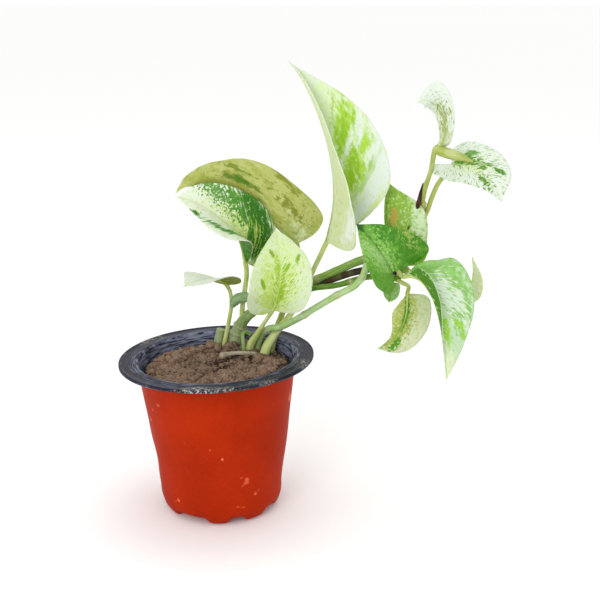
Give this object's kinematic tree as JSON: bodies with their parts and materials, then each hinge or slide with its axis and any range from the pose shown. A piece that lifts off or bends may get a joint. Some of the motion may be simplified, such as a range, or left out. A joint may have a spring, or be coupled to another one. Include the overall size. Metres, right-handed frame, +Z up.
{
  "type": "potted variegated pothos",
  "caption": "Trailing houseplant with white and green marbled heart-shaped leaves on petioles and short vines, in a thin two-tone plastic nursery pot of soil.",
  "frame": {"origin": "centre of the flat base disc of the pot, on the surface that the pot stands on", "axes": "+Z up along the pot's axis; -Y is the front, the side that the leaves' display faces; +X to the right seen from the front, the way the vines lean"},
  "size_m": [0.2382, 0.1284, 0.272],
  "materials": {
    "pot_plastic": "satin",
    "potting_soil": "matte",
    "vine_skin": "satin",
    "petiole_skin": "satin",
    "pale_leaf": "satin",
    "green_leaf": "satin",
    "leaf_underside": "satin",
    "dry_husk": "matte",
    "root_skin": "matte"
  },
  "bodies": {
    "root": {"aerial_root": "root_skin", "behind_leaf": "green_leaf", "behind_leaf_petiole": "petiole_skin", "curled_shoot": "petiole_skin", "dark_leaf": "green_leaf", "dark_leaf_petiole": "petiole_skin", "dry_sheath": "dry_husk", "edge_leaf": "pale_leaf", "edge_leaf_petiole": "petiole_skin", "frayed_root": "root_skin", "front_vine": "vine_skin", "hanging_leaf": "green_leaf", "hanging_leaf_petiole": "petiole_skin", "heart_leaf": "pale_leaf", "heart_leaf_petiole": "petiole_skin", "hood_leaf": "leaf_underside", "hood_leaf_petiole": "petiole_skin", "left_stub": "vine_skin", "low_leaf": "leaf_underside", "low_leaf_petiole": "petiole_skin", "lower_vine": "vine_skin", "main_vine": "vine_skin", "nursery_pot": "pot_plastic", "potting_soil": "potting_soil", "right_leaf": "pale_leaf", "right_leaf_petiole": "petiole_skin", "sliver_leaf": "leaf_underside", "sliver_leaf_petiole": "petiole_skin", "tall_leaf": "pale_leaf", "tall_leaf_petiole": "petiole_skin", "top_leaf": "pale_leaf", "top_leaf_petiole": "petiole_skin", "trough_leaf": "pale_leaf", "trough_leaf_petiole": "petiole_skin", "upper_vine": "vine_skin", "young_leaf": "green_leaf", "young_leaf_petiole": "petiole_skin"}
  },
  "joints": []
}
